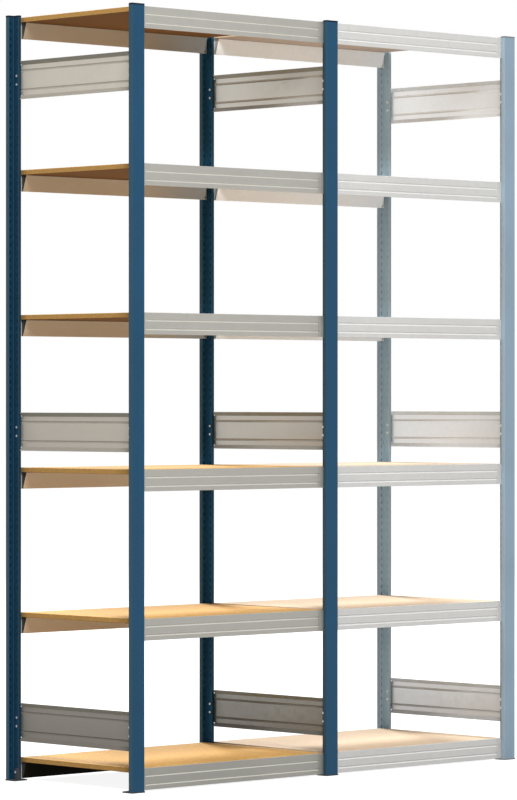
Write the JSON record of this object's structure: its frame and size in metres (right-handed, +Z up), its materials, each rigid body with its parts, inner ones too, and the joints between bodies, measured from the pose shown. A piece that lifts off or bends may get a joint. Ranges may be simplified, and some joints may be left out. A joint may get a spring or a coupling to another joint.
{
  "type": "wide span shelving unit",
  "caption": "Boltless wide span shelving: a starter bay and a joined add-on bay with slotted posts, grooved galvanised beams, side braces and lift-out chipboard shelves.",
  "frame": {"origin": "on the floor, under the middle of the rack", "axes": "+X along the bays from the starter bay to the add-on bay, +Y from front to rear, +Z up"},
  "size_m": [1.788, 0.626, 2.505],
  "materials": {
    "blue_paint": "semi-gloss powder coat",
    "pale_blue_paint": "semi-gloss powder coat, pale",
    "zinc": "hot-dip galvanised sheet",
    "pale_zinc": "hot-dip galvanised sheet, pale",
    "chipboard": "raw chipboard",
    "pale_chipboard": "raw chipboard, pale",
    "dark_steel": "dark painted steel",
    "pale_dark_steel": "grey painted steel",
    "black_plastic": "moulded plastic",
    "bolt_zinc": "zinc plated"
  },
  "bodies": {
    "rack": {"upright_front_left": "blue_paint", "foot_front_left": "dark_steel", "upright_rear_left": "blue_paint", "foot_rear_left": "dark_steel", "side_brace_left_bottom": "zinc", "side_brace_left_middle": "zinc", "side_brace_left_top": "zinc", "upright_front_middle": "blue_paint", "foot_front_middle": "dark_steel", "upright_rear_middle": "blue_paint", "foot_rear_middle": "dark_steel", "side_brace_middle_bottom": "zinc", "side_brace_middle_middle": "zinc", "side_brace_middle_top": "zinc", "upright_front_right": "pale_blue_paint", "foot_front_right": "pale_dark_steel", "upright_rear_right": "pale_blue_paint", "foot_rear_right": "pale_dark_steel", "side_brace_right_bottom": "pale_zinc", "side_brace_right_middle": "pale_zinc", "side_brace_right_top": "pale_zinc", "beam_front_starter_1": "zinc", "beam_rear_starter_1": "zinc", "beam_front_starter_2": "zinc", "beam_rear_starter_2": "zinc", "beam_front_starter_3": "zinc", "beam_rear_starter_3": "zinc", "beam_front_starter_4": "zinc", "beam_rear_starter_4": "zinc", "beam_front_starter_5": "zinc", "beam_rear_starter_5": "zinc", "beam_front_starter_6": "zinc", "beam_rear_starter_6": "zinc", "beam_front_addon_1": "pale_zinc", "beam_rear_addon_1": "pale_zinc", "beam_front_addon_2": "pale_zinc", "beam_rear_addon_2": "pale_zinc", "beam_front_addon_3": "pale_zinc", "beam_rear_addon_3": "pale_zinc", "beam_front_addon_4": "pale_zinc", "beam_rear_addon_4": "pale_zinc", "beam_front_addon_5": "pale_zinc", "beam_rear_addon_5": "pale_zinc", "beam_front_addon_6": "pale_zinc", "beam_rear_addon_6": "pale_zinc", "post_caps": "black_plastic", "frame_bolts": "bolt_zinc", "frame_nuts": "bolt_zinc"},
    "board_starter_1": {"board_starter_1": "chipboard"},
    "board_starter_2": {"board_starter_2": "chipboard"},
    "board_starter_3": {"board_starter_3": "chipboard"},
    "board_starter_4": {"board_starter_4": "chipboard"},
    "board_starter_5": {"board_starter_5": "chipboard"},
    "board_starter_6": {"board_starter_6": "chipboard"},
    "board_addon_1": {"board_addon_1": "pale_chipboard"},
    "board_addon_2": {"board_addon_2": "pale_chipboard"},
    "board_addon_3": {"board_addon_3": "pale_chipboard"},
    "board_addon_4": {"board_addon_4": "pale_chipboard"},
    "board_addon_5": {"board_addon_5": "pale_chipboard"},
    "board_addon_6": {"board_addon_6": "pale_chipboard"}
  },
  "joints": [
    {"name": "board_starter_1_lift", "type": "slide", "parent": "rack", "child": "board_starter_1", "axis": [0, 0, 1], "range_m": [0, 0.06]},
    {"name": "board_starter_2_lift", "type": "slide", "parent": "rack", "child": "board_starter_2", "axis": [0, 0, 1], "range_m": [0, 0.06]},
    {"name": "board_starter_3_lift", "type": "slide", "parent": "rack", "child": "board_starter_3", "axis": [0, 0, 1], "range_m": [0, 0.06]},
    {"name": "board_starter_4_lift", "type": "slide", "parent": "rack", "child": "board_starter_4", "axis": [0, 0, 1], "range_m": [0, 0.06]},
    {"name": "board_starter_5_lift", "type": "slide", "parent": "rack", "child": "board_starter_5", "axis": [0, 0, 1], "range_m": [0, 0.06]},
    {"name": "board_starter_6_lift", "type": "slide", "parent": "rack", "child": "board_starter_6", "axis": [0, 0, 1], "range_m": [0, 0.06]},
    {"name": "board_addon_1_lift", "type": "slide", "parent": "rack", "child": "board_addon_1", "axis": [0, 0, 1], "range_m": [0, 0.06]},
    {"name": "board_addon_2_lift", "type": "slide", "parent": "rack", "child": "board_addon_2", "axis": [0, 0, 1], "range_m": [0, 0.06]},
    {"name": "board_addon_3_lift", "type": "slide", "parent": "rack", "child": "board_addon_3", "axis": [0, 0, 1], "range_m": [0, 0.06]},
    {"name": "board_addon_4_lift", "type": "slide", "parent": "rack", "child": "board_addon_4", "axis": [0, 0, 1], "range_m": [0, 0.06]},
    {"name": "board_addon_5_lift", "type": "slide", "parent": "rack", "child": "board_addon_5", "axis": [0, 0, 1], "range_m": [0, 0.06]},
    {"name": "board_addon_6_lift", "type": "slide", "parent": "rack", "child": "board_addon_6", "axis": [0, 0, 1], "range_m": [0, 0.06]}
  ]
}
